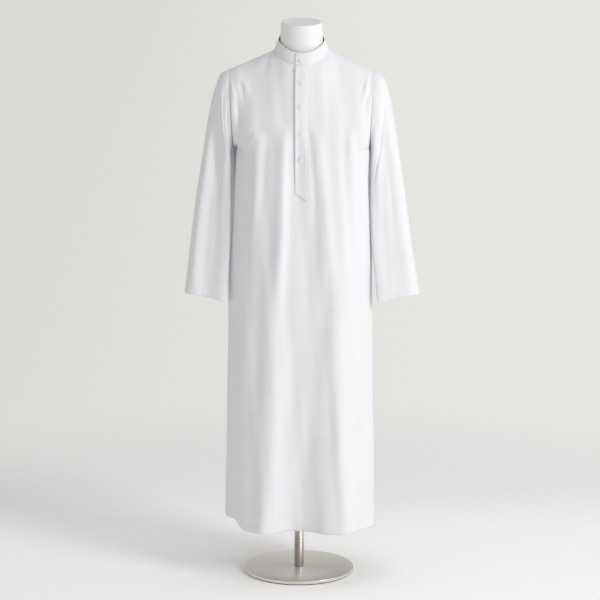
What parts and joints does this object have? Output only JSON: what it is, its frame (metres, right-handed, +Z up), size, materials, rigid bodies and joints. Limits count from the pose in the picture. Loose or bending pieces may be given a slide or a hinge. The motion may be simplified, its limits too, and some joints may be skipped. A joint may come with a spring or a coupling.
{
  "type": "thobe robe on dress form",
  "caption": "Long white robe with a band collar, buttoned placket and loose straight sleeves, on a limbless dress form with a round steel base.",
  "frame": {"origin": "centre of the underside of the stand's base, on the floor", "axes": "+Z up along the pole; the robe's front faces -Y, so +X is the wearer's left"},
  "size_m": [0.675, 0.32, 1.6221],
  "materials": {
    "cotton": "matt white poplin",
    "button": "white, satin",
    "form": "matt white glass fibre shell",
    "steel": "satin nickel, brushed",
    "pad": "matt black"
  },
  "bodies": {
    "root": {"front": "cotton", "back": "cotton", "sleeve_right": "cotton", "sleeve_left": "cotton", "collar": "cotton", "placket_over": "cotton", "placket_under": "cotton", "button_1": "button", "button_2": "button", "button_3": "button", "button_4": "button", "button_5": "button", "form_torso": "form", "form_pole": "steel", "form_base": "steel", "base_pad": "pad"}
  },
  "joints": []
}
